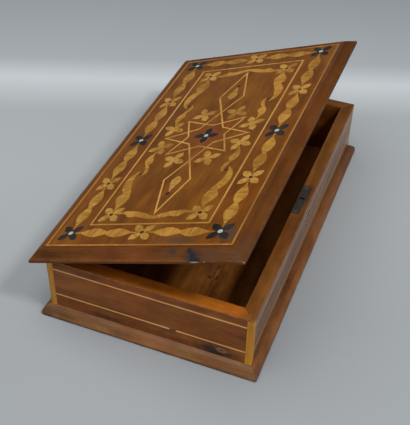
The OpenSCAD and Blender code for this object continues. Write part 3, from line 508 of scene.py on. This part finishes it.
# Corners this near each other are joined, faces within FLAT are merged, and edges beyond SHARP are rounded
SAME_CORNER = 0.000002
FLAT, SHARP = math.radians(1.0), math.radians(35)
# How far each kind of piece is rounded
ARRISES = {"plinth": 0.0003, "rim_lip": 0.0003, "lid_frame": 0.0002}
STRIP_ARRIS = 0.0004


def join_faces(names):
    """Joins the loaded faces at their shared corners, so that one piece of inlay is one island."""
    for name in names:
        weld = NODES[name].modifiers.new("weld", "WELD")
        weld.merge_threshold = SAME_CORNER


def soften(names, width):
    """Rounds the arrises a little, as a modifier, so that the CAD mesh stays as it is."""
    join_faces(names)
    for name in names:
        flat = NODES[name].modifiers.new("flat faces", "DECIMATE")
        flat.decimate_type = "DISSOLVE"
        flat.angle_limit = FLAT
        edge = NODES[name].modifiers.new("arris", "BEVEL")
        edge.width = width
        edge.segments = 2
        edge.limit_method = "ANGLE"
        edge.angle_limit = SHARP
        edge.harden_normals = False


# The floor's side, and how far it lies under the box, so that the two don't share a face
FLOOR_SIZE, FLOOR_DROP = 80.0, 0.0003
# The paper's tone by distance ahead of the camera, as a share of its span: painted light and shade, with a
# painted highlight band where a backdrop would curve up
PAPER_SPAN = 1.6
PAPER_PAINTED_LIGHT = (
    (0.30, (0.300, 0.320, 0.336)),
    (0.42, (0.358, 0.382, 0.398)),
    (0.49, (0.355, 0.380, 0.397)),
    (0.532, (0.525, 0.560, 0.580)),
    (0.56, (0.355, 0.380, 0.402)),
    (0.66, (0.298, 0.321, 0.341)),
)
# The band fades to the sides into a darker painted shade, and beyond the lamps' reach the floor glows in a
# fixed tone, for the camera and mirrored rays only
SIDE_PAPER_SHADE, SIDE_FROM, SIDE_TO = (0.330, 0.353, 0.370), 0.35, 0.80
FAR_FLOOR_GLOW, FAR_FROM, FAR_TO = (0.290, 0.308, 0.322), 0.70, 1.70


def make_stage():
    """A wide pale floor with painted light: its tone deepens softly with distance, a painted highlight band
    crosses it, and far off it glows for the camera instead of being lit.
    """
    bpy.ops.mesh.primitive_plane_add(size=FLOOR_SIZE, location=(0, 0, -FLOOR_DROP))
    floor = bpy.context.object
    floor.name = "floor"
    g = Graph("paper")
    ahead = Vector((AHEAD[0], AHEAD[1], 0)).normalized()
    from_foot = g.vector("SUBTRACT", g.place, (EYE[0], EYE[1], 0)).outputs[0]
    run = g.vector("DOT_PRODUCT", from_foot, ahead).outputs["Value"]
    aside = g.vector("DOT_PRODUCT", from_foot, ahead.cross(Vector((0, 0, 1)))).outputs["Value"]
    # Painted light and shade along the camera's heading, with the painted highlight band
    tone = g.ramp(g.math("DIVIDE", run, PAPER_SPAN), PAPER_PAINTED_LIGHT)
    tone = g.mix(g.smooth(g.math("ABSOLUTE", aside), SIDE_FROM, SIDE_TO), tone, SIDE_PAPER_SHADE)
    away = g.smooth(g.vector("LENGTH", g.place).outputs["Value"], FAR_FROM, FAR_TO)
    ray = g.add("LightPath").outputs
    mirrored = g.math("MAXIMUM", ray["Is Glossy Ray"], ray["Is Transmission Ray"])
    seen = g.math("MAXIMUM", ray["Is Camera Ray"], mirrored)
    fine = g.noise(g.place, 900.0, 3.0, 0.6)
    # Far off, the floor's colour gives way to a painted glow seen only by the camera and by mirrored rays
    floor.data.materials.append(
        g.finish(
            base_color=g.mix(away, tone, (0, 0, 0)),
            roughness=g.smooth(fine, 0.3, 0.7, 0.75, 0.9),
            normal=g.bump(fine, 0.0001, 0.1),
            emission_color=FAR_FLOOR_GLOW,
            emission_strength=g.math("MULTIPLY", away, seen),
        )
    )


# Daylight's strength up to one height and from another, and the lamps: place, size and power
SKY = {"From Min": 0.22, "From Max": 0.50, "To Min": 0.27, "To Max": 0.07}
SKY_COLOUR = (0.95, 0.98, 1.0, 1.0)
LAMPS = {
    "key": ((-0.35, -0.95, 1.42), 0.24, 12.5),
    "above": ((-0.20, 0.36, 1.55), 1.7, 25.0),
    "left": ((-1.45, -0.75, 0.34), 0.6, 5.5),
}
LAMPS_AIM = Vector((0, 0, 0.05))


def make_light():
    """Weak daylight, stronger at the horizon, with a small key lamp, a broad one above and a low one."""
    world = bpy.data.worlds.new("studio")
    bpy.context.scene.world = world
    world.use_nodes = True
    tree = world.node_tree
    place = tree.nodes.new("ShaderNodeTexCoord").outputs["Generated"]
    parts = tree.nodes.new("ShaderNodeSeparateXYZ")
    tree.links.new(place, parts.inputs[0])
    rise = tree.nodes.new("ShaderNodeMapRange")
    rise.interpolation_type = "SMOOTHSTEP"
    for key, value in SKY.items():
        rise.inputs[key].default_value = value
    tree.links.new(parts.outputs["Z"], rise.inputs["Value"])
    background = tree.nodes["Background"]
    background.inputs["Color"].default_value = SKY_COLOUR
    tree.links.new(rise.outputs[0], background.inputs["Strength"])
    for name, (place, size, power) in LAMPS.items():
        data = bpy.data.lights.new(name, "AREA")
        data.shape = "SQUARE"
        data.size = size
        data.energy = power
        lamp = bpy.data.objects.new(name, data)
        lamp.location = place
        lamp.rotation_euler = (LAMPS_AIM - Vector(place)).to_track_quat("-Z", "Y").to_euler()
        bpy.context.scene.collection.objects.link(lamp)


make_camera()
make_stage()
make_light()
make_materials()
join_faces([*LEAVES, *FLOWERS, *LID_STRINGS])
for piece, width in ARRISES.items():
    soften([f"{piece}_{side}" for side in SIDES], width)
soften(["corner_strips"], STRIP_ARRIS)
bpy.context.scene.view_settings.view_transform = "Standard"
